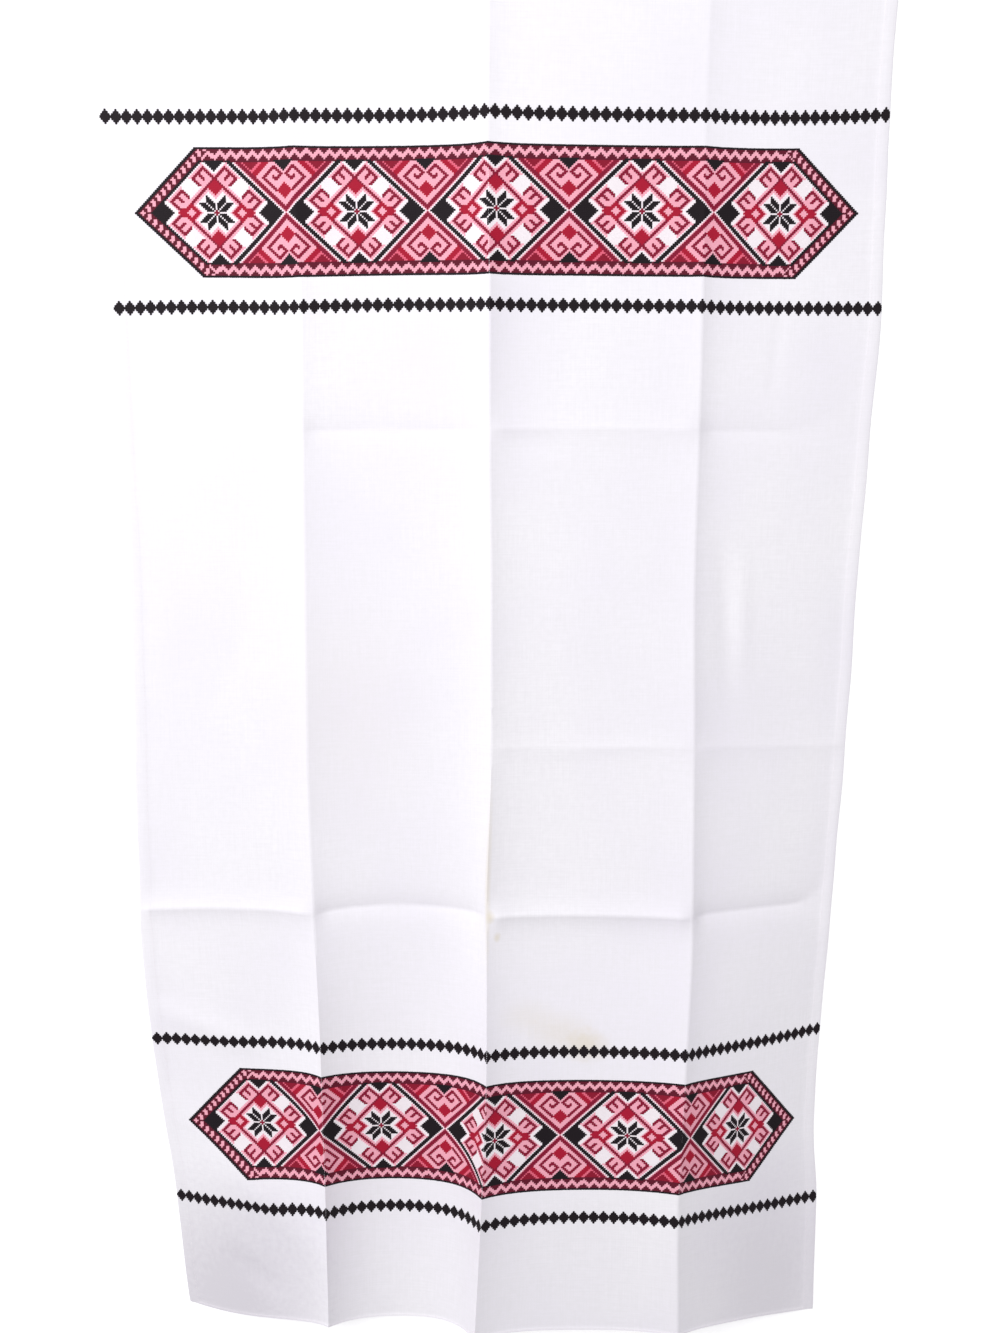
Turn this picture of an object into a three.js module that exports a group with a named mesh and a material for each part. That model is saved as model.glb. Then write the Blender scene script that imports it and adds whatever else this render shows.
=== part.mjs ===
// An embroidered tablecloth, laid out on a flat surface with its short ends at +Y and -Y.
// It is one hemmed sheet that has been stored folded. Three fold lines run down its length and three
// run across it, and the fold lines stand up as soft ridges, highest towards the -Y end.
// All sizes are in millimetres, +Z is up and the surface that the cloth lies on is z = 0.

import * as THREE from 'three';

// Sheet
const THICKNESS = 1.5;

// Number of panels between the side edges and the fold lines
const PANELS = 4;

// Grid of facets
const CELLS_PER_PANEL = 10;
const LONGEST_CELL = 17.5;
const CROSS_FOLD_CELL = 9;

// Fold lines down the length: how far the crest of each falls off to its left and to its right
const CREST_REACHES = [
  { left: 12, right: 15 },
  { left: 11, right: 15 },
  { left: 16, right: 11 },
];

// Wherever the sheet would be lower than SETTLE it has sunk onto the surface
const SETTLE = 0.6;

// Sections across the cloth, from the +Y end to the -Y end.
// along: distance from the +Y hem, measured on the cloth
// y: where the section lies
// x: the left edge, the three fold lines and the right edge
// z: heights of the underside at the left edge, then in turn at each panel's middle and right side
// crest: how much of each fold line's height is its narrow crest, on its left and then on its right
// bow: how far the middle of each of the four panels lies towards -Y of its two sides
// skew: how far the right edge lies towards +Y of the section
const SECTIONS = [
  {
    along: 0, y: 432, x: [-246, -126, -4, 131, 246],
    z: [0, 0, 3, 0.5, 8, 3, 3, 0.5, 0], crest: [2.5, 1, 3.5, 3.5, 1.5, 2.5],
    bow: [0, 0, 0, 1], skew: 0,
  },
  {
    along: 82, y: 349, x: [-244, -126, -5, 129, 242],
    z: [0, 0, 3.5, 2.5, 10, 4.5, 3, 0.5, 0], crest: [3, 1, 4, 4, 1.5, 2],
    bow: [0, 0, 0, 1], skew: 1,
  },
  {
    along: 197, y: 234, x: [-239, -121, -4, 128, 241],
    z: [0, 0, 6, 2, 14, 4.5, 7, 1, 0], crest: [5, 2, 5, 6, 3, 5],
    bow: [-1, -2, -1, 0], skew: 0,
  },
  {
    along: 273, y: 158, x: [-237, -121, -4, 127, 236],
    z: [0, 0, 7, 2, 13, 6, 8, 2, 0], crest: [5, 2, 5, 6, 3, 5],
    bow: [0, -1, -1, 0], skew: 0,
  },
  {
    along: 380, y: 51, x: [-234, -121, -3, 125, 230],
    z: [0, 0, 8, 2, 14, 7, 11, 3, 0], crest: [5, 2, 6, 6, 3, 5],
    bow: [0, 0, 0, 0], skew: 0,
  },
  {
    along: 474, y: -42, x: [-234, -121, -3, 126, 226],
    z: [0, 1, 9, 2, 15, 8, 14, 4, 0], crest: [5, 3, 7, 6, 3, 5],
    bow: [0, 0, 0, 0], skew: 0,
  },
  {
    along: 583, y: -151, x: [-234, -118, -6, 126, 220],
    z: [0, 2.5, 12, 3, 18, 10, 19, 7, 0], crest: [6, 4, 8, 6, 3, 5],
    bow: [-2, -3, 0, -1], skew: 6,
  },
  {
    along: 677, y: -239, x: [-229, -114, -6, 122, 215],
    z: [0, 3, 18, 3, 30, 18, 28, 11, 0], crest: [10, 6, 12, 6, 2, 4],
    bow: [1, 3, 1.5, 0.5], skew: 7,
  },
  {
    along: 740, y: -299, x: [-221, -112.5, -8, 119, 212.5],
    z: [0, 5, 21, 4.5, 34.5, 22, 31, 12, 0], crest: [10, 6, 14, 6, 2, 4],
    bow: [1, 4, 1, 1.5], skew: 1.5,
  },
  {
    along: 792, y: -348, x: [-215, -111, -10, 117, 215],
    z: [0, 12, 24, 5, 38, 26, 33, 12, 0], crest: [9, 7, 16, 5, 2, 4],
    bow: [0.5, 5, 0.5, 3], skew: -1,
  },
  {
    along: 874, y: -424, x: [-208, -110, -14, 118, 215],
    z: [0, 13, 26, 5, 38, 26, 35, 13, 0], crest: [9, 7, 16, 5, 2, 4],
    bow: [2, 7, 1, 2.5], skew: -5,
  },
];

// Fold lines across the cloth, with the rise of the fold in each of the four panels.
// A fold that is a ridge in one panel is a trough in the next.
const CROSS_FOLDS = [
  { along: 273, rise: [0, -1.5, 1.5, -1.5] },
  { along: 474, rise: [0, 0, 1, 1] },
  { along: 583, rise: [3, -3, 4, -3] },
];
const CROSS_FOLD_REACH = 7;

// Soft diagonal fold across the corner of the first panel, from the left edge to the first fold line
const CORNER_FOLD = {
  from: new THREE.Vector2(-225, -272),
  to: new THREE.Vector2(-106, -392),
  rise: 3,
  reach: 14,
};

// Slope of a column of the table at one section, kept level where the column turns round
function slopeAt(rows, index, pick) {
  if (index === 0 || index === rows.length - 1) return 0;
  const before = rows[index - 1];
  const here = rows[index];
  const after = rows[index + 1];
  const slopeIn = (pick(here) - pick(before)) / (here.along - before.along);
  const slopeOut = (pick(after) - pick(here)) / (after.along - here.along);
  if (slopeIn * slopeOut <= 0) return 0;
  return (2 * slopeIn * slopeOut) / (slopeIn + slopeOut);
}

// Value of a column of the table at any distance along the cloth, on a smooth curve through its rows
function valueAlong(rows, along, pick) {
  let index = 0;
  while (index < rows.length - 2 && rows[index + 1].along <= along) index += 1;
  const start = rows[index];
  const end = rows[index + 1];
  const span = end.along - start.along;
  const t = (along - start.along) / span;
  const slopeStart = slopeAt(rows, index, pick) * span;
  const slopeEnd = slopeAt(rows, index + 1, pick) * span;
  const a = (2 * t - 3) * t * t + 1;
  const b = ((t - 2) * t + 1) * t;
  const c = (3 - 2 * t) * t * t;
  const d = (t - 1) * t * t;
  return a * pick(start) + b * slopeStart + c * pick(end) + d * slopeEnd;
}

// Curve across one panel through the heights of its left side, middle and right side
function panelHeight(left, middle, right, t) {
  return left * (1 - t) * (1 - 2 * t) + 4 * middle * t * (1 - t) + right * t * (2 * t - 1);
}

// Rise of the folds that run across the cloth, fading out at the sides of a panel
function crossFoldRise(along, panel, sideDistance) {
  const fade = Math.min(1, sideDistance / CROSS_FOLD_REACH);
  let rise = 0;
  for (const fold of CROSS_FOLDS) {
    rise += fold.rise[panel] * fade * Math.exp(-Math.abs(along - fold.along) / CROSS_FOLD_REACH);
  }
  return rise;
}

// Rise of the diagonal corner fold at a place
function cornerFoldRise(x, y) {
  const line = CORNER_FOLD.to.clone().sub(CORNER_FOLD.from);
  const place = new THREE.Vector2(x, y).sub(CORNER_FOLD.from);
  const t = THREE.MathUtils.clamp(place.dot(line) / line.lengthSq(), 0, 1);
  const distance = place.distanceTo(line.clone().multiplyScalar(t));
  return CORNER_FOLD.rise * Math.sin(Math.PI * t) * Math.exp(-((distance / CORNER_FOLD.reach) ** 2));
}

// Point of the underside at a distance along the cloth and a share t of the way across a panel
function undersidePoint(along, panel, t) {
  const column = (pick) => valueAlong(SECTIONS, along, pick);
  const left = column((row) => row.x[panel]);
  const right = column((row) => row.x[panel + 1]);
  const x = THREE.MathUtils.lerp(left, right, t);
  const bow = column((row) => row.bow[panel]) * 4 * t * (1 - t);
  const skew = panel === PANELS - 1 ? column((row) => row.skew) * t * t : 0;
  const y = column((row) => row.y) - bow + skew;

  const [low, middle, high] = [0, 1, 2].map((step) => column((row) => row.z[2 * panel + step]));
  const crestLeft = panel > 0 ? column((row) => row.crest[2 * panel - 1]) : 0;
  const crestRight = panel < PANELS - 1 ? column((row) => row.crest[2 * panel]) : 0;
  let z = panelHeight(low - crestLeft, middle, high - crestRight, t);
  if (panel > 0) z += crestLeft * Math.exp((left - x) / CREST_REACHES[panel - 1].right);
  if (panel < PANELS - 1) z += crestRight * Math.exp((x - right) / CREST_REACHES[panel].left);
  z += crossFoldRise(along, panel, Math.min(x - left, right - x));
  if (panel === 0) z += cornerFoldRise(x, y);
  return new THREE.Vector3(x, y, Math.max(0, z - SETTLE));
}

// Distances along the cloth at which the grid has a line
function stationsAlong() {
  const marks = new Set(SECTIONS.map((row) => row.along));
  for (const fold of CROSS_FOLDS) {
    marks.add(fold.along - CROSS_FOLD_CELL);
    marks.add(fold.along);
    marks.add(fold.along + CROSS_FOLD_CELL);
  }
  const sorted = [...marks].sort((a, b) => a - b);
  const stations = [sorted[0]];
  for (let i = 1; i < sorted.length; i += 1) {
    const start = sorted[i - 1];
    const gap = sorted[i] - start;
    const cells = Math.ceil(gap / LONGEST_CELL);
    for (let cell = 1; cell <= cells; cell += 1) stations.push(start + (gap * cell) / cells);
  }
  return stations;
}

// Places across the cloth at which the grid has a line, closest together beside the fold lines
function stationsAcross() {
  const stations = [{ panel: 0, t: 0 }];
  for (let panel = 0; panel < PANELS; panel += 1) {
    for (let cell = 1; cell <= CELLS_PER_PANEL; cell += 1) {
      stations.push({ panel, t: (1 - Math.cos((Math.PI * cell) / CELLS_PER_PANEL)) / 2 });
    }
  }
  return stations;
}

// Closed sheet: a grid of points on the underside, the same grid raised by the thickness, and the rim
function sheetGeometry() {
  const down = stationsAlong();
  const across = stationsAcross();
  const underside = [];
  for (const along of down) {
    for (const { panel, t } of across) underside.push(undersidePoint(along, panel, t));
  }
  const topside = underside.map((point) => new THREE.Vector3(point.x, point.y, point.z + THICKNESS));

  const faces = [];
  const quad = (a, b, c, d) => faces.push(a, b, c, a, c, d);
  const under = (row, col) => row * across.length + col;
  const top = (row, col) => underside.length + under(row, col);
  const lastRow = down.length - 1;
  const lastCol = across.length - 1;
  for (let row = 0; row < lastRow; row += 1) {
    for (let col = 0; col < lastCol; col += 1) {
      quad(top(row, col), top(row + 1, col), top(row + 1, col + 1), top(row, col + 1));
      quad(under(row, col), under(row, col + 1), under(row + 1, col + 1), under(row + 1, col));
    }
    quad(top(row, 0), under(row, 0), under(row + 1, 0), top(row + 1, 0));
    quad(top(row, lastCol), top(row + 1, lastCol), under(row + 1, lastCol), under(row, lastCol));
  }
  for (let col = 0; col < lastCol; col += 1) {
    quad(top(0, col), top(0, col + 1), under(0, col + 1), under(0, col));
    quad(top(lastRow, col), under(lastRow, col), under(lastRow, col + 1), top(lastRow, col + 1));
  }

  const geometry = new THREE.BufferGeometry().setFromPoints([...underside, ...topside]);
  geometry.setIndex(faces);
  geometry.computeVertexNormals();
  return geometry;
}

// Plain-woven white cloth with a faint cool cast
const linen = new THREE.MeshStandardMaterial({
  name: 'linen',
  color: new THREE.Color('#f3f1f5'),
  roughness: 0.9,
  metalness: 0,
});

const tablecloth = new THREE.Mesh(sheetGeometry(), linen);
tablecloth.name = 'tablecloth';

const model = new THREE.Group();
model.add(tablecloth);

export default model;
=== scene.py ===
"""The looks of an embroidered tablecloth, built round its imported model.

One thin sheet of linen lies in its folds, with a narrow hem on all four sides. The embroidery is
counted: each stitch is one small cross of two strands, and a chart says which thread it is worked in.
A place on the flat cloth is given in millimetres as u, from the left edge, and v, from the far hem.
Everything that is made is in metres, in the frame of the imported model.
"""

import math

import bpy
import numpy as np
from bpy.props import FloatProperty, FloatVectorProperty, PointerProperty
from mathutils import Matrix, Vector, noise


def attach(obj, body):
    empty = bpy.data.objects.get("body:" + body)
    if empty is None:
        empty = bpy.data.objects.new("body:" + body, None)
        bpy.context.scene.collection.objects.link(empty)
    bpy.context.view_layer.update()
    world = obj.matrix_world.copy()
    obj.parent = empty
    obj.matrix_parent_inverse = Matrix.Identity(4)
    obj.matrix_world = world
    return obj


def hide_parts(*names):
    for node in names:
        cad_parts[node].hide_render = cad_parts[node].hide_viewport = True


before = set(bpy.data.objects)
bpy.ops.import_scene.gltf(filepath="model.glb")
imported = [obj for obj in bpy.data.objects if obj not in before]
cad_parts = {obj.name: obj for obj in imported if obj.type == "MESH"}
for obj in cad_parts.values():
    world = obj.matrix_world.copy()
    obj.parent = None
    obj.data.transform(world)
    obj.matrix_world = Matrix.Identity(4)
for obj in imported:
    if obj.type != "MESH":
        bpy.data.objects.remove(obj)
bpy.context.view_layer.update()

bl_info = {
    "name": "Embroidered tablecloth",
    "version": (1, 0, 0),
    "blender": (4, 5, 0),
    "location": "View3D > Sidebar > Tablecloth",
    "description": "Makes a folded linen tablecloth with counted embroidery, and a plain studio for it",
    "category": "Object",
}

MM = 0.001
CLOTH_NODE = "tablecloth"
BODY = "root"

# The cloth as it lies, in millimetres

FLAT_WIDTH = 500.0
FLAT_LENGTH = 874.0
PANEL_SIDES = (0.0, 122.0, 243.5, 376.5, 500.0)
PANELS = 4
# The fold lines wander a little on the flat cloth: distance along it, and u of each line
FOLD_LINES = (
    (82, 121.5, 246, 377.5),
    (197, 122, 243.5, 377.5),
    (677, 121.5, 244, 378.5),
    (792, 117, 240, 373),
)

# Sections across the cloth, from the far hem to the near hem: distance along the cloth, y of the
# section, x of the left edge, the fold lines and the right edge, heights at the left edge and then at
# each panel's middle and right side, how much of each fold line's height is its narrow crest on its
# left and on its right, bow of each panel towards the near end, skew of the right edge
SECTIONS = (
    (0, 432, -246, -126, -4, 131, 246, 0, 0, 3, 0.5, 8, 3, 3, 0.5, 0,
     2.5, 1, 3.5, 3.5, 1.5, 2.5, 0, 0, 0, 1, 0),
    (82, 349, -244, -126, -5, 129, 242, 0, 0, 3.5, 2.5, 10, 4.5, 3, 0.5, 0,
     3, 1, 4, 4, 1.5, 2, 0, 0, 0, 1, 1),
    (197, 234, -239, -121, -4, 128, 241, 0, 0, 6, 2, 14, 4.5, 7, 1, 0,
     5, 2, 5, 6, 3, 5, -1, -2, -1, 0, 0),
    (273, 158, -237, -121, -4, 127, 236, 0, 0, 7, 2, 13, 6, 8, 2, 0,
     5, 2, 5, 6, 3, 5, 0, -1, -1, 0, 0),
    (380, 51, -234, -121, -3, 125, 230, 0, 0, 8, 2, 14, 7, 11, 3, 0,
     5, 2, 6, 6, 3, 5, 0, 0, 0, 0, 0),
    (474, -42, -234, -121, -3, 126, 226, 0, 1, 9, 2, 15, 8, 14, 4, 0,
     5, 3, 7, 6, 3, 5, 0, 0, 0, 0, 0),
    (583, -151, -234, -118, -6, 126, 220, 0, 2.5, 12, 3, 18, 10, 19, 7, 0,
     6, 4, 8, 6, 3, 5, -2, -3, 0, -1, 6),
    (677, -239, -229, -114, -6, 122, 215, 0, 3, 18, 3, 30, 18, 28, 11, 0,
     10, 6, 12, 6, 2, 4, 1, 3, 1.5, 0.5, 7),
    (740, -299, -221, -112.5, -8, 119, 212.5, 0, 5, 21, 4.5, 34.5, 22, 31, 12, 0,
     10, 6, 14, 6, 2, 4, 1, 4, 1, 1.5, 1.5),
    (792, -348, -215, -111, -10, 117, 215, 0, 12, 24, 5, 38, 26, 33, 12, 0,
     9, 7, 16, 5, 2, 4, 0.5, 5, 0.5, 3, -1),
    (874, -424, -208, -110, -14, 118, 215, 0, 13, 26, 5, 38, 26, 35, 13, 0,
     9, 7, 16, 5, 2, 4, 2, 7, 1, 2.5, -5),
)
FIRST_X, FIRST_Z, FIRST_CREST, FIRST_BOW, SKEW = 1, 6, 15, 21, 25
# How far the crest of each fold line falls off to its left and to its right
CREST_REACHES = ((12.0, 15.0), (11.0, 15.0), (16.0, 11.0))
# How far the folds are let down, so that what lies between them touches the ground
SETTLE = 0.6

# Folds across the cloth: distance along it, and the rise in each panel
CROSS_FOLDS = (
    (273, (0, -1.5, 1.5, -1.5)),
    (474, (0, 0, 1, 1)),
    (583, (3, -3, 4, -3)),
)
CROSS_FOLD_REACH = 7.0
CORNER_FOLD_START = (-225.0, -272.0)
CORNER_FOLD_END = (-106.0, -392.0)
CORNER_FOLD_RISE, CORNER_FOLD_REACH = 3.0, 14.0

# Small wrinkles: u and v of both ends, rise and reach
WRINKLES = (
    (398, 330, 408, 455, -1.0, 7),
    (414, 345, 418, 430, 0.8, 5),
    (432, 190, 428, 262, -0.5, 4),
    (246, 276, 296, 284, -0.9, 8),
    (255, 480, 372, 471, 0.35, 3),
    (-6, 650, 84, 684, 2.2, 9),
    (4, 716, 116, 832, 1.3, 6),
    (34, 820, 84, 844, -1.9, 7),
)
# Gentle unevenness of the whole cloth, and of its edges
UNDULATION, UNDULATION_LENGTH = 0.3, 60.0
EDGE_WAVE, EDGE_WAVE_LENGTH, EDGE_WAVE_REACH = 0.8, 45.0, 14.0

# Stains on the linen, and two patches of painted shade at the near left corner and the near right panel:
# u, v, half width and half length in millimetres, strength, and their colour
STAINS_AND_PAINTED_SHADE = (
    (312, 672, 18, 14, 0.42, "stain_colour"),
    (294, 664, 26, 18, 0.22, "stain_colour"),
    (272, 652, 22, 14, 0.14, "stain_colour"),
    (244, 560, 3, 70, 0.3, "stain_colour"),
    (246, 583, 4, 5, 0.45, "stain_colour"),
    (251, 597, 3, 4, 0.4, "stain_colour"),
    (150, 450, 60, 90, 0.05, "stain_colour"),
    # Painted shade: darker linen at the near left corner and the near right panel, standing in for shade
    (36, 850, 95, 95, 0.75, "painted_shade_colour"),
    (455, 840, 85, 110, 0.5, "painted_shade_colour"),
)

# Grid of the sheet, and where it has closer lines beside a fold
CELLS_PER_PANEL = 36
CELL_ALONG = 3.9
FINE_SAMPLES = 97
FOLD_STEPS = (0.0, 1.5, 3.5)
# Hem: lines near its outer edge, its seam, and how softly its inner edge falls off
HEM_EDGE_STEPS = (0.35, 0.9)
SEAM_INSET, HEM_FALL = 0.5, 1.0

# Embroidery: sizes of stitches in millimetres, and of the motifs in stitches

STITCHES_ACROSS = 450
STITCH = FLAT_WIDTH / STITCHES_ACROSS
BAND_STITCH = 1.149
# The middle of each band, u and v, and the height of its stitches
BANDS = {"far": (249.8, 140.0, 1.11), "near": (250.0, 734.0, 1.068)}
DOTTED_LINES = {"far_outer": 82.5, "far_inner": 197.5, "near_inner": 676.5, "near_outer": 791.5}
HALF_ROWS = 35
BORDER_ROW = 28
MEDALLION_STEP = 78
LAST_MEDALLION = 156
ZIGZAG_PERIOD = 6
DOT_PERIOD = 6
DOT_HEIGHTS = (1, 3, 5, 7, 5, 3)
DOT_ROW = 1.22
# Seeds of the stitches' unevenness: a step for each thread of the bands, and the first for the lines
BAND_SEED_STEP, DOTTED_LINE_SEED = 10, 200

# Running stitches of the hem, in millimetres, and their height as a share of an embroidery stitch's
HEM_STITCH_LENGTH, HEM_STITCH_PITCH, HEM_STITCH_WIDTH = 1.7, 2.6, 0.36
HEM_STITCH_HEIGHT = 0.6

# Threads, and how plump each is beside the others
THREADS = {
    "bare": 0.0,
    "black": 1.22,
    "maroon": 1.12,
    "wine": 1.45,
    "crimson": 1.08,
    "deep_red": 1.08,
    "rose": 0.95,
    "pink": 0.88,
    "white": 0.86,
}
BARE, BLACK, MAROON, WINE, CRIMSON, DEEP_RED, ROSE, PINK, WHITE = range(len(THREADS))
# Height of a strand's edges, as a share of its own height
EDGE_HEIGHT = 0.06
# How unevenly the stitches lie, as a share of a stitch, and how unevenly plump they are
SLIP, PLUMPNESS = 0.03, 0.08

# Studio, in metres: the floor, the key light and the camera
FLOOR_SIZE, FLOOR_DROP = 6.0, 0.0004
KEY_LIGHT_PLACE, KEY_LIGHT_SIZE = (-0.75, 0.74, 1.25), 1.2
CAMERA_PLACE, CAMERA_PITCH = (0.0025, 0.072, 0.692), math.radians(-5.2)
SENSOR_WIDTH, LENS_LENGTH = 36.0, 29.14


def linear(red, green, blue):
    """A colour given on the usual 0 to 255 scale, as scene linear values."""
    shares = [value / 255 for value in (red, green, blue)]
    return tuple(s / 12.92 if s <= 0.04045 else ((s + 0.055) / 1.055) ** 2.4 for s in shares)


class TableclothSheetSettings(bpy.types.PropertyGroup):
    """Sizes and colour of the linen sheet"""

    thickness: FloatProperty(
        name="Thickness",
        description="Thickness of one layer of the linen",
        default=0.0005,
        min=0.0002,
        max=0.001,
        unit="LENGTH",
    )
    hem_width: FloatProperty(
        name="Hem width",
        description="Width of the turned hem",
        default=0.008,
        min=0.004,
        max=0.015,
        unit="LENGTH",
    )
    hem_lift: FloatProperty(
        name="Hem lift",
        description="How much thicker the hem is than one layer",
        default=0.0005,
        min=0.0,
        max=0.001,
        unit="LENGTH",
    )
    colour: FloatVectorProperty(
        name="Linen",
        description="Colour of the linen",
        subtype="COLOR",
        default=linear(240, 238, 243),
        min=0.0,
        max=1.0,
    )
    # Painted shade: a grey laid into the linen's colour at the near corners, standing in for shade there
    painted_shade_colour: FloatVectorProperty(
        name="Painted shade on the linen",
        description="Colour of the shade painted on the linen near its corners",
        subtype="COLOR",
        default=linear(206, 202, 210),
        min=0.0,
        max=1.0,
    )
    stain_colour: FloatVectorProperty(
        name="Stain",
        description="Colour of the old faint stains",
        subtype="COLOR",
        default=linear(216, 203, 168),
        min=0.0,
        max=1.0,
    )


def thread_colour(name, red, green, blue):
    """A property for the colour of one embroidery thread."""
    return FloatVectorProperty(
        name=name,
        description=f"Colour of the {name.lower()} thread",
        subtype="COLOR",
        default=linear(red, green, blue),
        min=0.0,
        max=1.0,
    )


class TableclothThreadSettings(bpy.types.PropertyGroup):
    """Sizes and colours of the embroidery threads"""

    thread_width: FloatProperty(
        name="Thread width",
        description="Width of one strand of a stitch",
        default=0.0008,
        min=0.0003,
        max=0.0011,
        unit="LENGTH",
    )
    thread_height: FloatProperty(
        name="Thread height",
        description="How far a stitch stands proud of the linen",
        default=0.00032,
        min=0.0001,
        max=0.0006,
        unit="LENGTH",
    )
    black: thread_colour("Black", 24, 15, 22)
    maroon: thread_colour("Maroon", 98, 16, 40)
    wine: thread_colour("Wine", 138, 16, 50)
    crimson: thread_colour("Crimson", 173, 17, 50)
    deep_red: thread_colour("Deep red", 144, 16, 46)
    rose: thread_colour("Rose", 232, 104, 130)
    pink: thread_colour("Pink", 249, 174, 192)
    white: thread_colour("White", 250, 240, 246)


class TableclothStudioSettings(bpy.types.PropertyGroup):
    """Light of the studio"""

    key_power: FloatProperty(
        name="Key light",
        description="Power of the large soft light at the far left",
        default=19.2,
        min=0.0,
        max=200.0,
        subtype="POWER",
    )
    room_light: FloatProperty(
        name="Room light",
        description="Strength of the even light from all round",
        default=0.6,
        min=0.0,
        max=2.0,
        subtype="FACTOR",
    )


# Shape of the cloth


def section_columns(along):
    """The section table at distances along the cloth, on a smooth curve through its rows."""
    table = np.array(SECTIONS, float)
    knots, columns = table[:, 0], table[:, 1:]
    span = np.diff(knots)[:, None]
    rise = np.diff(columns, axis=0) / span
    before, after = rise[:-1], rise[1:]
    same_way = before * after > 0
    slope = np.zeros_like(columns)
    slope[1:-1] = np.where(same_way, 2 * before * after / np.where(same_way, before + after, 1), 0)
    row = np.clip(np.searchsorted(knots, along, side="right") - 1, 0, len(knots) - 2)
    t = ((along - knots[row]) / span[row, 0])[:, None]
    return (
        ((2 * t - 3) * t * t + 1) * columns[row]
        + ((t - 2) * t + 1) * t * span[row] * slope[row]
        + (3 - 2 * t) * t * t * columns[row + 1]
        + (t - 1) * t * t * span[row] * slope[row + 1]
    )


def ridge(x, y, start, end, rise, reach):
    """Height of a soft ridge, or trough where rise is negative, that fades out at both ends."""
    start, end = np.array(start, float), np.array(end, float)
    line = end - start
    t = np.clip(((x - start[0]) * line[0] + (y - start[1]) * line[1]) / (line @ line), 0, 1)
    distance = np.hypot(x - start[0] - line[0] * t, y - start[1] - line[1] * t)
    return rise * np.sin(np.pi * t) * np.exp(-((distance / reach) ** 2))


def underside(columns, along, panel, t):
    """Points of the underside in one panel: a row of points for each distance along the cloth."""
    left = columns[:, FIRST_X + panel, None]
    right = columns[:, FIRST_X + panel + 1, None]
    low, middle, high = (columns[:, FIRST_Z + 2 * panel + step, None] for step in range(3))
    bow = columns[:, FIRST_BOW + panel, None]
    x = left + (right - left) * t
    y = columns[:, 0, None] - bow * 4 * t * (1 - t)
    if panel == PANELS - 1:
        y = y + columns[:, SKEW, None] * t * t
    z = 4 * middle * t * (1 - t)
    crest = 0.0
    if panel > 0:
        crest = columns[:, FIRST_CREST + 2 * panel - 1, None]
        z = z + crest * np.exp((left - x) / CREST_REACHES[panel - 1][1])
    z = z + (low - crest) * (1 - t) * (1 - 2 * t)
    crest = 0.0
    if panel < PANELS - 1:
        crest = columns[:, FIRST_CREST + 2 * panel, None]
        z = z + crest * np.exp((x - right) / CREST_REACHES[panel][0])
    z = z + (high - crest) * t * (2 * t - 1)
    fade = np.minimum(1, np.minimum(x - left, right - x) / CROSS_FOLD_REACH)
    for place, rises in CROSS_FOLDS:
        z = z + rises[panel] * fade * np.exp(-np.abs(along[:, None] - place) / CROSS_FOLD_REACH)
    if panel == 0:
        z = z + ridge(x, y, CORNER_FOLD_START, CORNER_FOLD_END, CORNER_FOLD_RISE, CORNER_FOLD_REACH)
    return np.stack([x, y, z - SETTLE], axis=-1)


def panel_points(columns, along, panel, shares):
    """Points of the underside at equal shares of the length of the cloth across a panel."""
    fine = (1 - np.cos(np.linspace(0, np.pi, FINE_SAMPLES))) / 2
    samples = underside(columns, along, panel, np.broadcast_to(fine, (len(along), len(fine))))
    steps = np.linalg.norm(np.diff(samples, axis=1), axis=2)
    run = np.concatenate([np.zeros((len(along), 1)), np.cumsum(steps, axis=1)], axis=1)
    run /= run[:, -1:]
    t = np.array([np.interp(shares, row, fine) for row in run])
    return underside(columns, along, panel, t)


def fold_lines(v):
    """u of the left edge, the three fold lines and the right edge, at distances along the cloth."""
    knots = np.array(FOLD_LINES, float)
    lines = [np.interp(v, knots[:, 0], knots[:, column]) for column in range(1, PANELS)]
    return [0 * v, *lines, 0 * v + FLAT_WIDTH]


def carried(u, sides, new_sides):
    """Places across the cloth, carried from one set of panel sides to another."""
    carried_u = 0.0
    for low, high, new_low, new_high in zip(sides, sides[1:], new_sides, new_sides[1:]):
        carried_u = carried_u + (new_high - new_low) * np.clip((u - low) / (high - low), 0, 1)
    return carried_u


def stations(marks, longest, fold_marks, length, hem):
    """Distances at which the sheet's grid has a line: at the marks, round folds and along the hems."""
    kept = set(marks)
    for mark in fold_marks:
        for step in FOLD_STEPS:
            kept |= {mark - step, mark + step}
    for step in (*HEM_EDGE_STEPS, hem - SEAM_INSET, hem, hem + SEAM_INSET, hem + HEM_FALL):
        kept |= {step, length - step}
    kept = sorted(kept)
    line = [kept[0]]
    for start, end in zip(kept, kept[1:]):
        cells = math.ceil((end - start) / longest)
        line += [start + (end - start) * cell / cells for cell in range(1, cells + 1)]
    return np.array(line)


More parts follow.
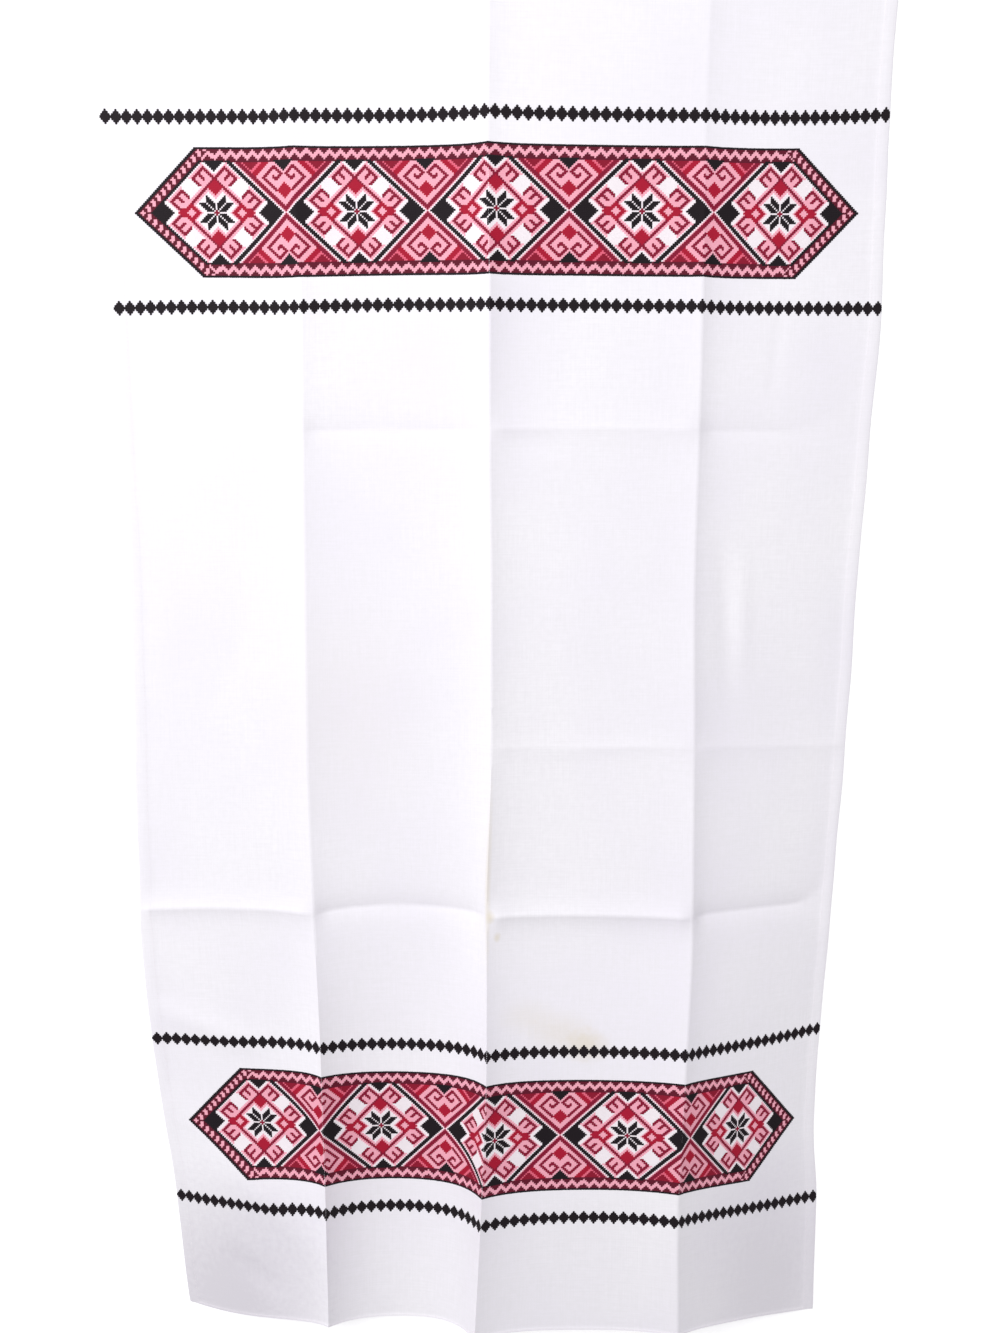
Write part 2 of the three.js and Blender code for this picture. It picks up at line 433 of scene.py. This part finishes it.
class ClothSurface:
    """The upper face of the cloth as a grid of points, and any place on it"""

    def __init__(self, sheet):
        hem = sheet.hem_width / MM
        cell = FLAT_WIDTH / PANELS / CELLS_PER_PANEL
        self.u = stations(PANEL_SIDES, cell, PANEL_SIDES[1:-1], FLAT_WIDTH, hem)
        cross_folds = [place for place, _ in CROSS_FOLDS]
        self.v = stations((0, FLAT_LENGTH), CELL_ALONG, cross_folds, FLAT_LENGTH, hem)
        columns = section_columns(self.v)
        blocks = []
        for panel in range(PANELS):
            low, high = PANEL_SIDES[panel : panel + 2]
            inside = (self.u > low) & (self.u <= high) if panel else self.u <= high
            shares = (self.u[inside] - low) / (high - low)
            blocks.append(panel_points(columns, self.v, panel, shares))
        points = np.concatenate(blocks, axis=1)

        u, v = np.meshgrid(self.u, self.v)
        self.hem = self.hem_share(np.minimum.reduce([u, FLAT_WIDTH - u, v, FLAT_LENGTH - v]), hem)
        u = self.flat_u = carried(u, PANEL_SIDES, fold_lines(v))
        for u0, v0, u1, v1, rise, reach in WRINKLES:
            points[..., 2] += ridge(u, v, (u0, v0), (u1, v1), rise, reach)
        points[..., 2] += UNDULATION * self.noise(u, v, UNDULATION_LENGTH, 0.0)
        points[..., 2] = np.maximum(points[..., 2], 0)
        side = np.exp(-np.minimum(u, FLAT_WIDTH - u) / EDGE_WAVE_REACH)
        end = np.exp(-np.minimum(v, FLAT_LENGTH - v) / EDGE_WAVE_REACH)
        points[..., 0] += EDGE_WAVE * side * self.noise(u, v, EDGE_WAVE_LENGTH, 3.7)
        points[..., 1] += EDGE_WAVE * end * self.noise(u, v, EDGE_WAVE_LENGTH, 8.3)

        points *= MM
        points[..., 2] += sheet.thickness + sheet.hem_lift * self.hem
        self.points = points
        across = np.gradient(points, axis=1)
        along = -np.gradient(points, axis=0)
        normal = np.cross(across, along)
        self.normals = normal / np.linalg.norm(normal, axis=2, keepdims=True)

    @staticmethod
    def noise(u, v, length, layer):
        """Smooth random values from about -1 to 1, the same on every run."""
        values = [
            noise.noise(Vector((a / length, b / length, layer))) for a, b in zip(u.ravel(), v.ravel())
        ]
        return np.array(values).reshape(u.shape)

    @staticmethod
    def hem_share(depth, hem):
        """How much of the hem's lift there is at a distance from the nearest edge."""
        edge = np.clip(0.3 + depth / HEM_EDGE_STEPS[1], 0, 1)
        inner = np.clip((hem + HEM_FALL - depth) / (2 * HEM_FALL), 0, 1)
        seam = 0.35 * np.exp(-(((depth - hem + SEAM_INSET) / 0.6) ** 2))
        return np.clip(edge * inner * inner * (3 - 2 * inner) - seam, 0, 1)

    def place(self, u, v, lift):
        """Points above places on the cloth, each lifted straight out of it."""
        u = carried(u, fold_lines(v), PANEL_SIDES)
        col = np.clip(np.searchsorted(self.u, u, side="right") - 1, 0, len(self.u) - 2)
        row = np.clip(np.searchsorted(self.v, v, side="right") - 1, 0, len(self.v) - 2)
        s = ((u - self.u[col]) / (self.u[col + 1] - self.u[col]))[..., None]
        t = ((v - self.v[row]) / (self.v[row + 1] - self.v[row]))[..., None]

        def blended(grid):
            near = grid[row, col] * (1 - s) + grid[row, col + 1] * s
            far = grid[row + 1, col] * (1 - s) + grid[row + 1, col + 1] * s
            return near * (1 - t) + far * t

        return blended(self.points) + blended(self.normals) * lift[..., None]


# Chart of the embroidery


def band_chart():
    """Stitches of one band: across and up from its centre, and the thread of each.

    Every number here is a place in the chart or a count of stitches.
    """
    reach = LAST_MEDALLION + HALF_ROWS + 12
    x, y = np.meshgrid(np.arange(-reach, reach + 1), np.arange(-HALF_ROWS, HALF_ROWS + 1))
    last = LAST_MEDALLION // MEDALLION_STEP
    nearest = np.clip(np.round(x / MEDALLION_STEP), -last, last).astype(int)
    ax, ay = np.abs(x - nearest * MEDALLION_STEP), np.abs(y)
    s, t = ax + ay, np.abs(ax - ay)
    beyond = np.abs(x) > LAST_MEDALLION

    def between(value, low, high):
        return (value >= low) & (value <= high)

    # Black shapes that cross the whole field
    black = (np.abs(ax - 30) + ay <= 6) | between(s, 35, 37) | (ay - ax >= 23)
    petal = between(ax, 1, 5) & between(ay - ax, 1, 4) | between(ay, 1, 5) & between(ax - ay, 1, 4)

    # Medallion
    comb = between(s, 30, 31) & between(t, 6, 19)
    comb |= between(t, 6, 7) & between(s, 23, 31)
    comb |= between(t, 12, 13) & between(s, 24, 31)
    comb |= between(t, 18, 19) & between(s, 19, 31)
    ring, drop = np.abs(ax - 14) + ay, ax + np.abs(ay - 14)
    blush = between(s, 16, 17) | between(s, 20, 21) | (ring == 6)
    blush |= between(t, 8, 17) & between(s, 20, 29)
    blush |= (t == 20) | between(s, 32, 33) & between(t, 5, 20)
    medallion = np.select(
        [petal, s <= 1, drop <= 4, ring <= 2, ring <= 5, np.abs(2 * ax - 37) + 2 * ay <= 5,
         between(s, 18, 19) | comb, blush | (drop <= 6)],
        [BLACK, WINE, CRIMSON, PINK, CRIMSON, CRIMSON, WINE, PINK],
        WHITE,
    )

    # Half medallion between two others
    dx = MEDALLION_STEP // 2 - ax
    sv, q = ay - dx, ay + dx
    spiral = between(sv, 7, 8) & between(q, 17, 31) | between(q, 30, 31) & between(sv, 7, 20)
    spiral |= between(sv, 19, 20) & between(q, 22, 31) | between(q, 22, 23) & between(sv, 13, 20)
    spiral |= between(sv, 13, 14) & between(q, 22, 26)
    corner = (q >= 36) & (sv >= 3)
    chevron = between(sv, 3, 4) & (q >= 40) | between(q, 40, 41) & (sv >= 3)
    between_medallions = np.select(
        [sv <= -1, sv == 0, sv <= 3, dx + np.abs(ay - 12) <= 4, sv >= 23, spiral,
         corner & chevron, corner & (q >= 42) & (sv >= 5), corner],
        [WHITE, PINK, WINE, CRIMSON, BLACK, WINE, ROSE, DEEP_RED, CRIMSON],
        PINK,
    )

    field = np.select([black, s <= 34], [BLACK, medallion], between_medallions)

    # Zigzag border, and the slanted strips that close the band's ends
    shift = np.round(0.5 + 3 * x / LAST_MEDALLION).astype(int)
    crest = BORDER_ROW + 2 + np.abs((x - shift) % ZIGZAG_PERIOD - ZIGZAG_PERIOD // 2)
    zigzag = np.where(np.abs(ay - crest) <= 1, PINK, MAROON)
    black_row = black | (sv >= 23) & ~beyond
    inner_row = np.where(black_row, BLACK, MAROON)
    border = np.select([ay == BORDER_ROW, ay == HALF_ROWS], [inner_row, BLACK], zigzag)
    bars = between(s, 38, 42) & ((3 * ax - 2 * ay) % 15 <= 7)
    strip = np.where(bars, PINK, MAROON)
    chart = np.where(ay >= BORDER_ROW, border, field)
    chart = np.where(beyond & between(s, 37, 43) & (ay < HALF_ROWS), strip, chart)
    chart = np.where(beyond & (s >= 44), BLACK, chart)
    chart = np.where(beyond & (s > 45), BARE, chart)
    return x.ravel(), y.ravel(), chart.ravel()


def dotted_line_stitches():
    """Stitches of one dotted line: across from the cloth's left edge, and up from the line."""
    places = []
    for column in range(STITCHES_ACROSS):
        half = DOT_HEIGHTS[column % DOT_PERIOD] // 2
        places += [(column + 0.5, up) for up in range(-half, half + 1)]
    return np.array(places, float)


# Stitches


def strand_faces(first, sections):
    """Triangles between the sections of a strand, each of three points, from its first point on."""
    faces = []
    for section in range(sections - 1):
        for lane in range(2):
            a = first + 3 * section + lane
            faces += [(a, a + 3, a + 4), (a, a + 4, a + 1)]
    return faces


def cross_stitch():
    """One cross of two strands in a square of side 1: points, triangles and the strands' own map.

    A point is its place across and along, how far it is to the side of its strand, and its height.
    """
    points, faces, strand_map = [], [], []

    def strand(direction, sections):
        side = (-direction[1], direction[0])
        first = len(points)
        for reach, half_width, height in sections:
            for share in (-1, 0, 1):
                points.append((
                    direction[0] * reach,
                    direction[1] * reach,
                    side[0] * half_width * share,
                    side[1] * half_width * share,
                    height if share == 0 else EDGE_HEIGHT,
                ))
                strand_map.append((reach, half_width * share))
        faces.extend(strand_faces(first, len(sections)))

    half = math.sqrt(0.5)
    strand((half, half), [(-0.70, 0.5, 0.55), (0.70, 0.5, 0.55)])
    strand((half, -half), [(-0.72, 0.42, 0.30), (0.0, 0.56, 1.0), (0.72, 0.42, 0.30)])
    return np.array(points), np.array(faces), np.array(strand_map)


def stitched_piece(name, points, stitch_faces, strand):
    """A new object of like stitches, from all their points, one stitch's triangles and a strand map."""
    points = points.reshape(-1, 3)
    size = stitch_faces.max() + 1
    firsts = np.arange(0, len(points), size)
    triangles = (stitch_faces[None] + firsts[:, None, None]).reshape(-1, 3)
    mesh = bpy.data.meshes.new(name)
    mesh.from_pydata(points.tolist(), [], triangles.tolist())
    layer = mesh.uv_layers.new(name="strand")
    layer.data.foreach_set("uv", strand[triangles.ravel()].astype(np.float32).ravel())
    mesh.shade_smooth()
    piece = bpy.data.objects.new(name, mesh)
    bpy.context.scene.collection.objects.link(piece)
    return piece


def embroider(name, cloth, places, centre, size, thread, threads, seed):
    """One piece of joined cross stitches in one thread, each a little uneven.

    Places are counted across and up from the centre, in stitches of a width and a height.
    """
    random = np.random.default_rng(seed)
    unit, faces, strand_map = cross_stitch()
    stitch, row = size
    u = centre[0] + places[:, 0, None] * stitch
    v = centre[1] - places[:, 1, None] * row
    count = len(places)
    slip = random.normal(0, SLIP, (2, count, 1))
    plump = random.normal(1, PLUMPNESS, (count, 1)) * THREADS[thread]
    width = threads.thread_width / MM / stitch * THREADS[thread]
    across = (unit[:, 0] + unit[:, 2] * width)[None] + slip[0]
    along = (unit[:, 1] + unit[:, 3] * width)[None] + slip[1]
    points = cloth.place(
        np.clip(u + across * stitch, 0.05, FLAT_WIDTH - 0.05),
        v - along * row,
        unit[None, :, 4] * plump * threads.thread_height,
    )
    strand = np.tile(strand_map, (count, 1)) * stitch * MM
    return stitched_piece(name, points, faces, strand)


def hem_stitches(cloth, sheet, threads):
    """Small running stitches of white sewing thread that hold the hem down."""
    depth = sheet.hem_width / MM - SEAM_INSET
    corners = [
        (depth, depth), (FLAT_WIDTH - depth, depth),
        (FLAT_WIDTH - depth, FLAT_LENGTH - depth), (depth, FLAT_LENGTH - depth),
    ]
    sections = np.array([(-0.5, 0.35, 0.0), (0.0, 1.0, 1.0), (0.5, 0.35, 0.0)])
    places, lifts, strand = [], [], []
    for start, end in zip(corners, corners[1:] + corners[:1]):
        run = Vector(end) - Vector(start)
        ahead = run.normalized()
        side = Vector((-ahead.y, ahead.x))
        for stitch in range(int(run.length / HEM_STITCH_PITCH)):
            middle = Vector(start) + ahead * HEM_STITCH_PITCH * (stitch + 0.5)
            for reach, breadth, height in sections:
                for share in (-1, 0, 1):
                    ahead_by, aside_by = reach * HEM_STITCH_LENGTH, share * HEM_STITCH_WIDTH / 2
                    places.append(middle + ahead * ahead_by + side * aside_by * breadth)
                    lifts.append(height if share == 0 else -0.4)
                    strand.append((ahead_by * MM, aside_by * MM))
    places = np.array(places)
    lifts = np.array(lifts) * threads.thread_height * HEM_STITCH_HEIGHT
    points = cloth.place(places[:, 0], places[:, 1], lifts)
    faces = np.array(strand_faces(0, len(sections)))
    return stitched_piece("hem_stitches", points, faces, np.array(strand))


# Materials


def add_node(tree, kind, inputs=None, **settings):
    """A new node with its settings, and each input set to a value or linked to a socket."""
    node = tree.nodes.new(kind)
    for name, value in settings.items():
        setattr(node, name, value)
    for name, value in (inputs or {}).items():
        if isinstance(value, bpy.types.NodeSocket):
            tree.links.new(value, node.inputs[name])
        else:
            node.inputs[name].default_value = value
    return node


def calculate(tree, operation, *values):
    """The result socket of a Math node."""
    return add_node(tree, "ShaderNodeMath", dict(enumerate(values)), operation=operation).outputs[0]


def blend_colours(tree, share, first, second):
    """The result socket of two colours mixed by a share."""
    inputs = {0: share, 6: first, 7: second}
    return add_node(tree, "ShaderNodeMix", inputs, data_type="RGBA").outputs[2]


def spread(tree, value, low, high, to_low, to_high):
    """A value brought from one range to another, and kept in it."""
    inputs = {"Value": value, 1: low, 2: high, 3: to_low, 4: to_high}
    return add_node(tree, "ShaderNodeMapRange", inputs).outputs[0]


def noise_texture(tree, vector, scale, detail):
    """The result socket of a noise texture."""
    inputs = {"Vector": vector, "Scale": scale, "Detail": detail}
    return add_node(tree, "ShaderNodeTexNoise", inputs).outputs["Fac"]


def mapped(tree, vector, scale, location=(0.0, 0.0, 0.0)):
    """Places on the surface, scaled and then moved."""
    inputs = {"Vector": vector, "Scale": scale, "Location": location}
    return add_node(tree, "ShaderNodeMapping", inputs).outputs["Vector"]


def fabric_finish(tree, shader, height, strength, distance, roughness, sheen, sheen_roughness):
    """Relief, roughness and sheen of a matt fabric or thread."""
    inputs = {"Strength": strength, "Distance": distance, "Height": height}
    relief = add_node(tree, "ShaderNodeBump", inputs).outputs["Normal"]
    tree.links.new(relief, shader.inputs["Normal"])
    shader.inputs["Roughness"].default_value = roughness
    shader.inputs["Specular IOR Level"].default_value = 0.2
    shader.inputs["Sheen Weight"].default_value = sheen
    shader.inputs["Sheen Roughness"].default_value = sheen_roughness


def new_material(name):
    """An empty node material and its shader."""
    material = bpy.data.materials.new(name)
    material.use_nodes = True
    return material, material.node_tree, material.node_tree.nodes["Principled BSDF"]


def tint(colour, share):
    """A colour made lighter or darker, with its full cover."""
    return (*(min(1.0, value * share) for value in colour), 1.0)


def thread_material(name, colour, sheen):
    """Twisted embroidery thread, a little uneven in its colour, with painted shade in the furrows of its
    twist.
    """
    material, tree, shader = new_material(name)
    place = add_node(tree, "ShaderNodeTexCoord").outputs["Object"]
    strand = add_node(tree, "ShaderNodeUVMap", uv_map="strand").outputs["UV"]
    patches = noise_texture(tree, place, 45.0, 3.0)
    single = noise_texture(tree, place, 700.0, 1.0)
    twist = add_node(
        tree,
        "ShaderNodeTexWave",
        {"Vector": strand, "Scale": 900.0, "Distortion": 0.6, "Detail": 1.0, "Detail Scale": 2.0},
        bands_direction="DIAGONAL",
    ).outputs["Fac"]
    dye_and_shade = blend_colours(tree, patches, tint(colour, 0.9), tint(colour, 1.1))
    dye_and_shade = blend_colours(tree, single, dye_and_shade, tint(colour, 0.92))
    # Painted shade: the furrows of the twist are coloured darker, standing in for the shade in them
    furrow_shade = spread(tree, twist, 0.0, 0.5, 0.18, 0.0)
    dye_and_shade = blend_colours(tree, furrow_shade, dye_and_shade, tint(colour, 0.55))
    tree.links.new(dye_and_shade, shader.inputs["Base Color"])
    fabric_finish(tree, shader, twist, 0.6, 0.00005, roughness=0.66, sheen=sheen, sheen_roughness=0.4)
    return material


def linen_material(sheet):
    """Plain weave with uneven threads, faint cool patches, a few old stains and painted shade near the
    near corners.
    """
    material, tree, shader = new_material("linen")
    flat = add_node(tree, "ShaderNodeUVMap", uv_map="flat").outputs["UV"]
    colour = tuple(sheet.colour)

    def stretched(scale, detail=2.0):
        return noise_texture(tree, mapped(tree, flat, scale), 1.0, detail)

    def bands(direction, pitch):
        # The wave repeats once in pi / 10 of its own scale
        inputs = {"Vector": flat, "Scale": math.pi / 10 / pitch, "Distortion": 0.0}
        return add_node(tree, "ShaderNodeTexWave", inputs, bands_direction=direction).outputs["Fac"]

    warp = bands("X", STITCH * MM / 2)
    weft = bands("Y", STITCH * MM / 2)
    warp_slubs = stretched((1400.0, 40.0, 1.0))
    weft_slubs = stretched((40.0, 1400.0, 1.0))
    patches = stretched((9.0, 7.0, 1.0), 3.0)
    grain = stretched((260.0, 260.0, 1.0), 3.0)

    cool = (colour[0] * 0.97, colour[1] * 0.955, colour[2])
    patchy = spread(tree, patches, 0.35, 0.7, 0.0, 1.0)
    tone = blend_colours(tree, patchy, tint(colour, 1.03), tint(cool, 1.0))
    slubs = calculate(tree, "ADD", warp_slubs, weft_slubs)
    tone = blend_colours(tree, spread(tree, slubs, 0.7, 1.3, 0.0, 0.6), tone, tint(colour, 0.93))
    tone = blend_colours(tree, spread(tree, grain, 0.4, 0.65, 0.0, 0.3), tone, tint(colour, 0.93))
    # Each patch is a real stain, or painted shade where it takes the painted shade colour
    for u, v, half_width, half_length, strength, stain_or_shade in STAINS_AND_PAINTED_SHADE:
        scale = (1 / (half_width * MM), 1 / (half_length * MM), 1.0)
        centred = mapped(tree, flat, scale, (-u / half_width, -v / half_length, 0.0))
        length = add_node(tree, "ShaderNodeVectorMath", {0: centred}, operation="LENGTH")
        ragged = spread(tree, grain, 0.3, 0.7, -0.12, 0.12)
        ragged = calculate(tree, "ADD", length.outputs["Value"], ragged)
        share = spread(tree, ragged, 1.0, 0.2, 0.0, strength)
        tone = blend_colours(tree, share, tone, (*getattr(sheet, stain_or_shade), 1.0))
    tree.links.new(tone, shader.inputs["Base Color"])

    weave = calculate(tree, "MULTIPLY", warp, weft)
    height = calculate(tree, "ADD", weave, slubs)
    fabric_finish(tree, shader, height, 0.5, 0.00006, roughness=0.88, sheen=0.15, sheen_roughness=0.5)
    return material


def finish_piece(piece, material):
    """A finished piece takes its material and rides on the cloth's body."""
    piece.data.materials.clear()
    piece.data.materials.append(material)
    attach(piece, BODY)


# Operators


class TABLECLOTH_OT_linen(bpy.types.Operator):
    """Make the linen sheet in its folds, with its hem"""

    bl_idname = "tablecloth.linen"
    bl_label = "Linen sheet"
    bl_options = {"REGISTER", "UNDO"}

    def execute(self, context):
        sheet = context.scene.tablecloth_sheet
        cloth = ClothSurface(sheet)
        bpy.ops.object.select_all(action="DESELECT")
        bpy.ops.mesh.primitive_grid_add(
            x_subdivisions=len(cloth.u) - 1, y_subdivisions=len(cloth.v) - 1, size=1
        )
        piece = context.object
        piece.name = piece.data.name = "linen_sheet"
        mesh = piece.data
        corner = np.empty(len(mesh.vertices) * 3)
        mesh.vertices.foreach_get("co", corner)
        corner = corner.reshape(-1, 3)
        col = np.round((corner[:, 0] + 0.5) * (len(cloth.u) - 1)).astype(int)
        row = np.round((0.5 - corner[:, 1]) * (len(cloth.v) - 1)).astype(int)
        if len(np.unique(row * len(cloth.u) + col)) != cloth.points.shape[0] * cloth.points.shape[1]:
            raise RuntimeError("the grid of the linen sheet doesn't match the cloth's stations")
        mesh.vertices.foreach_set("co", cloth.points[row, col].ravel())

        while mesh.uv_layers:
            mesh.uv_layers.remove(mesh.uv_layers[0])
        layer = mesh.uv_layers.new(name="flat")
        loops = np.empty(len(mesh.loops), int)
        mesh.loops.foreach_get("vertex_index", loops)
        flat = np.stack([cloth.flat_u[row, col], cloth.v[row]], axis=1) * MM
        layer.data.foreach_set("uv", flat[loops].astype(np.float32).ravel())
        mesh.update()

        group = piece.vertex_groups.new(name="hem")
        shares = cloth.hem[row, col]
        for index in np.flatnonzero(shares > 0):
            group.add([int(index)], float(shares[index]), "REPLACE")
        modifier = piece.modifiers.new("thickness", "SOLIDIFY")
        modifier.thickness = sheet.thickness + sheet.hem_lift
        modifier.offset = -1
        modifier.vertex_group = group.name
        modifier.thickness_vertex_group = sheet.thickness / (sheet.thickness + sheet.hem_lift)
        bpy.ops.object.modifier_apply(modifier=modifier.name)
        bpy.ops.object.shade_smooth_by_angle(angle=math.radians(60))

        finish_piece(piece, linen_material(sheet))
        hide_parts(CLOTH_NODE)
        return {"FINISHED"}


class TABLECLOTH_OT_bands(bpy.types.Operator):
    """Work the two embroidered bands, one piece for each thread of each band"""

    bl_idname = "tablecloth.bands"
    bl_label = "Embroidered bands"
    bl_options = {"REGISTER", "UNDO"}

    def execute(self, context):
        threads = context.scene.tablecloth_threads
        cloth = ClothSurface(context.scene.tablecloth_sheet)
        x, y, chart = band_chart()
        for thread, name in enumerate(THREADS):
            if thread == BARE:
                continue
            worked = chart == thread
            if not worked.any():
                raise RuntimeError(f"the chart has no {name} stitch")
            material = thread_material(f"{name}_thread", tuple(getattr(threads, name)), 0.04)
            places = np.stack([x[worked], y[worked]], axis=1)
            for seed, (end, (u, v, row)) in enumerate(BANDS.items()):
                size = BAND_STITCH, row
                seed += BAND_SEED_STEP * thread
                piece = embroider(f"{end}_band_{name}", cloth, places, (u, v), size, name, threads, seed)
                finish_piece(piece, material)
        return {"FINISHED"}


class TABLECLOTH_OT_dotted_lines(bpy.types.Operator):
    """Work the four lines of small black diamonds that run from edge to edge"""

    bl_idname = "tablecloth.dotted_lines"
    bl_label = "Dotted lines"
    bl_options = {"REGISTER", "UNDO"}

    def execute(self, context):
        threads = context.scene.tablecloth_threads
        cloth = ClothSurface(context.scene.tablecloth_sheet)
        places = dotted_line_stitches()
        material = bpy.data.materials.get("black_thread") or thread_material(
            "black_thread", tuple(threads.black), 0.04
        )
        for seed, (name, centre) in enumerate(DOTTED_LINES.items()):
            size = STITCH, DOT_ROW
            seed += DOTTED_LINE_SEED
            name = f"dotted_line_{name}"
            piece = embroider(name, cloth, places, (0, centre), size, "black", threads, seed)
            finish_piece(piece, material)
        return {"FINISHED"}


class TABLECLOTH_OT_hem_stitches(bpy.types.Operator):
    """Sew the running stitches that hold the hem"""

    bl_idname = "tablecloth.hem_stitches"
    bl_label = "Hem stitches"
    bl_options = {"REGISTER", "UNDO"}

    def execute(self, context):
        scene = context.scene
        cloth = ClothSurface(scene.tablecloth_sheet)
        piece = hem_stitches(cloth, scene.tablecloth_sheet, scene.tablecloth_threads)
        colour = tuple(scene.tablecloth_threads.white)
        finish_piece(piece, thread_material("sewing_thread", colour, 0.1))
        return {"FINISHED"}


class TABLECLOTH_OT_studio(bpy.types.Operator):
    """Set up the pale floor, the soft light and the camera"""

    bl_idname = "tablecloth.studio"
    bl_label = "Studio"
    bl_options = {"REGISTER", "UNDO"}

    def execute(self, context):
        scene = context.scene
        studio = scene.tablecloth_studio
        bpy.ops.object.select_all(action="DESELECT")
        bpy.ops.mesh.primitive_plane_add(size=FLOOR_SIZE, location=(0, 0, -FLOOR_DROP))
        floor = context.object
        floor.name = "floor"
        bpy.ops.object.transform_apply(location=True, rotation=False, scale=False)
        material, _, shader = new_material("pale_floor")
        shader.inputs["Base Color"].default_value = (0.93, 0.93, 0.94, 1.0)
        shader.inputs["Roughness"].default_value = 0.9
        shader.inputs["Specular IOR Level"].default_value = 0.1
        shader.inputs["Emission Color"].default_value = (1.0, 1.0, 1.0, 1.0)
        shader.inputs["Emission Strength"].default_value = 0.3
        floor.data.materials.append(material)

        light = bpy.data.lights.new("key_light", "AREA")
        light.shape = "DISK"
        light.size = KEY_LIGHT_SIZE
        light.energy = studio.key_power
        holder = bpy.data.objects.new("key_light", light)
        holder.location = KEY_LIGHT_PLACE
        holder.rotation_euler = (-Vector(KEY_LIGHT_PLACE)).to_track_quat("-Z", "Y").to_euler()
        scene.collection.objects.link(holder)

        world = bpy.data.worlds.new("room")
        world.use_nodes = True
        background = world.node_tree.nodes["Background"]
        background.inputs["Color"].default_value = (1.0, 0.99, 1.0, 1.0)
        background.inputs["Strength"].default_value = studio.room_light
        scene.world = world
        scene.view_settings.view_transform = "Standard"

        lens = bpy.data.cameras.new("camera")
        lens.sensor_width = SENSOR_WIDTH
        lens.lens = LENS_LENGTH
        lens.clip_start, lens.clip_end = 0.01, 20.0
        camera = bpy.data.objects.new("camera", lens)
        camera.location = CAMERA_PLACE
        camera.rotation_euler = (CAMERA_PITCH, 0.0, 0.0)
        scene.collection.objects.link(camera)
        scene.camera = camera
        return {"FINISHED"}


class TABLECLOTH_PT_sidebar(bpy.types.Panel):
    """The tablecloth's operators and settings"""

    bl_idname = "TABLECLOTH_PT_sidebar"
    bl_label = "Tablecloth"
    bl_space_type = "VIEW_3D"
    bl_region_type = "UI"
    bl_category = "Tablecloth"

    def draw(self, context):
        for operator in OPERATORS:
            self.layout.operator(operator.bl_idname)
        for name in SETTINGS:
            group = getattr(context.scene, name)
            box = self.layout.box()
            for prop in group.__annotations__:
                box.prop(group, prop)


OPERATORS = (
    TABLECLOTH_OT_linen,
    TABLECLOTH_OT_bands,
    TABLECLOTH_OT_dotted_lines,
    TABLECLOTH_OT_hem_stitches,
    TABLECLOTH_OT_studio,
)
SETTINGS = {
    "tablecloth_sheet": TableclothSheetSettings,
    "tablecloth_threads": TableclothThreadSettings,
    "tablecloth_studio": TableclothStudioSettings,
}


def register():
    for group in SETTINGS.values():
        bpy.utils.register_class(group)
    for name, group in SETTINGS.items():
        setattr(bpy.types.Scene, name, PointerProperty(type=group))
    for operator in OPERATORS:
        bpy.utils.register_class(operator)
    bpy.utils.register_class(TABLECLOTH_PT_sidebar)


def unregister():
    bpy.utils.unregister_class(TABLECLOTH_PT_sidebar)
    for operator in reversed(OPERATORS):
        bpy.utils.unregister_class(operator)
    for name, group in SETTINGS.items():
        delattr(bpy.types.Scene, name)
        bpy.utils.unregister_class(group)


def main():
    register()
    bpy.ops.tablecloth.linen()
    bpy.ops.tablecloth.bands()
    bpy.ops.tablecloth.dotted_lines()
    bpy.ops.tablecloth.hem_stitches()
    bpy.ops.tablecloth.studio()


if __name__ == "__main__":
    main()
